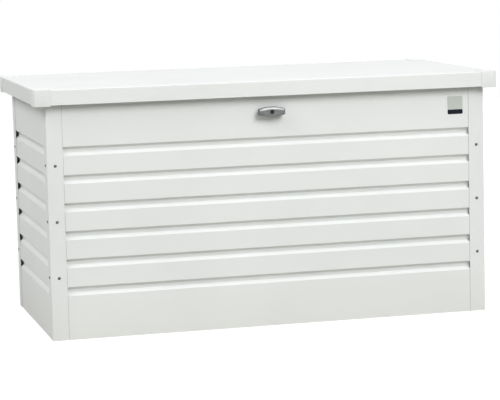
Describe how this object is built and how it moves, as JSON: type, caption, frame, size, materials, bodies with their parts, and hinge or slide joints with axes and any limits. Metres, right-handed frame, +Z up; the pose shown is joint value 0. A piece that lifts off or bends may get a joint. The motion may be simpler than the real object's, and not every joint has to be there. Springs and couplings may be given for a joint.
{
  "type": "garden storage box",
  "caption": "Low rectangular steel storage box with grooved walls, corner posts, a hinged lid on gas struts and a turn-handle lock.",
  "frame": {"origin": "middle of the footprint, on the ground", "axes": "+Z up, -Y towards the front with the turn handle, +X to the right seen from the front"},
  "size_m": [1.59, 0.79, 0.83],
  "materials": {
    "coated_sheet": "satin",
    "galvanised": "satin",
    "zinc_screw": "satin",
    "chrome": "polished",
    "cap_plastic": "satin",
    "strut_black": "satin",
    "strut_rod_steel": "polished",
    "rubber_black": "matte",
    "plate_silver": "satin"
  },
  "bodies": {
    "case": {"front_panel": "coated_sheet", "rear_panel": "coated_sheet", "left_panel": "coated_sheet", "right_panel": "coated_sheet", "corner_post_front_left": "coated_sheet", "corner_post_front_right": "coated_sheet", "corner_post_rear_left": "coated_sheet", "corner_post_rear_right": "coated_sheet", "post_screws": "zinc_screw", "post_nuts": "zinc_screw", "top_rail_front": "coated_sheet", "top_rail_rear": "coated_sheet", "top_rail_left": "coated_sheet", "top_rail_right": "coated_sheet", "base_rail_front": "galvanised", "base_rail_rear": "galvanised", "base_rail_left": "galvanised", "base_rail_right": "galvanised", "floor_panel": "galvanised", "floor_screws": "zinc_screw", "hinge_case_leaf_left": "galvanised", "hinge_case_leaf_middle": "galvanised", "hinge_case_leaf_right": "galvanised", "hinge_pins": "zinc_screw", "hinge_case_rivets": "zinc_screw", "lid_buffers": "rubber_black", "strut_case_bracket_left": "galvanised", "strut_case_bracket_right": "galvanised", "lock_housing": "chrome", "lock_nut": "zinc_screw", "rod_guides": "galvanised", "label_plate": "plate_silver"},
    "lid": {"hinge_lid_leaf_left": "galvanised", "hinge_lid_leaf_middle": "galvanised", "hinge_lid_leaf_right": "galvanised", "hinge_lid_rivets": "zinc_screw", "lid_sheet": "coated_sheet", "lid_stiffener_front": "galvanised", "lid_stiffener_middle": "galvanised", "lid_stiffener_rear": "galvanised", "lid_cap_front_left": "cap_plastic", "lid_cap_front_right": "cap_plastic", "lid_cap_rear_left": "cap_plastic", "lid_cap_rear_right": "cap_plastic", "strut_lid_bracket_left": "galvanised", "strut_lid_bracket_right": "galvanised", "lock_keeper_left": "galvanised", "lock_keeper_right": "galvanised"},
    "strut_tube_left": {"strut_tube_left": "strut_black"},
    "strut_rod_left": {"strut_rod_left": "strut_rod_steel"},
    "strut_tube_right": {"strut_tube_right": "strut_black"},
    "strut_rod_right": {"strut_rod_right": "strut_rod_steel"},
    "handle": {"t_handle": "chrome", "lock_cam": "galvanised", "cam_screw": "zinc_screw"},
    "key": {"key_plug": "chrome"},
    "lock_rod_left": {"lock_rod_left": "galvanised"},
    "lock_rod_right": {"lock_rod_right": "galvanised"}
  },
  "joints": [
    {"name": "lid_open", "type": "hinge", "parent": "case", "child": "lid", "pos_m": [0, 0.3789, 0.786], "axis": [-1, 0, 0], "range_deg": [0, 80]},
    {"name": "strut_tube_left_pivot", "type": "hinge", "parent": "case", "child": "strut_tube_left", "pos_m": [-0.7083, 0.3039, 0.48521], "axis": [-1, 0, 0], "range_deg": [0, 40]},
    {"name": "strut_rod_left_pivot", "type": "hinge", "parent": "lid", "child": "strut_rod_left", "pos_m": [-0.7083, 0.06904, 0.7952], "axis": [-1, 0, 0], "range_deg": [-40, 0]},
    {"name": "strut_tube_right_pivot", "type": "hinge", "parent": "case", "child": "strut_tube_right", "pos_m": [0.7083, 0.3039, 0.48521], "axis": [-1, 0, 0], "range_deg": [0, 40]},
    {"name": "strut_rod_right_pivot", "type": "hinge", "parent": "lid", "child": "strut_rod_right", "pos_m": [0.7083, 0.06904, 0.7952], "axis": [-1, 0, 0], "range_deg": [-40, 0]},
    {"name": "handle_turn", "type": "hinge", "parent": "case", "child": "handle", "pos_m": [0, -0.3658, 0.724], "axis": [0, 1, 0], "range_deg": [0, 90]},
    {"name": "key_turn", "type": "hinge", "parent": "handle", "child": "key", "pos_m": [0, -0.3858, 0.724], "axis": [0, 1, 0], "range_deg": [0, 90]},
    {"name": "lock_rod_left_slide", "type": "slide", "parent": "case", "child": "lock_rod_left", "axis": [-1, 0, 0], "range_m": [0, 0.0284]},
    {"name": "lock_rod_right_slide", "type": "slide", "parent": "case", "child": "lock_rod_right", "axis": [1, 0, 0], "range_m": [0, 0.0284]}
  ],
  "couplings": [
    {"joint": "strut_tube_left_pivot", "follows": "lid_open", "ratio": 0.5},
    {"joint": "strut_rod_left_pivot", "follows": "lid_open", "ratio": -0.5},
    {"joint": "strut_tube_right_pivot", "follows": "lid_open", "ratio": 0.5},
    {"joint": "strut_rod_right_pivot", "follows": "lid_open", "ratio": -0.5},
    {"joint": "lock_rod_left_slide", "follows": "handle_turn", "m_per_rad": 0.018006},
    {"joint": "lock_rod_right_slide", "follows": "handle_turn", "m_per_rad": 0.018006}
  ]
}
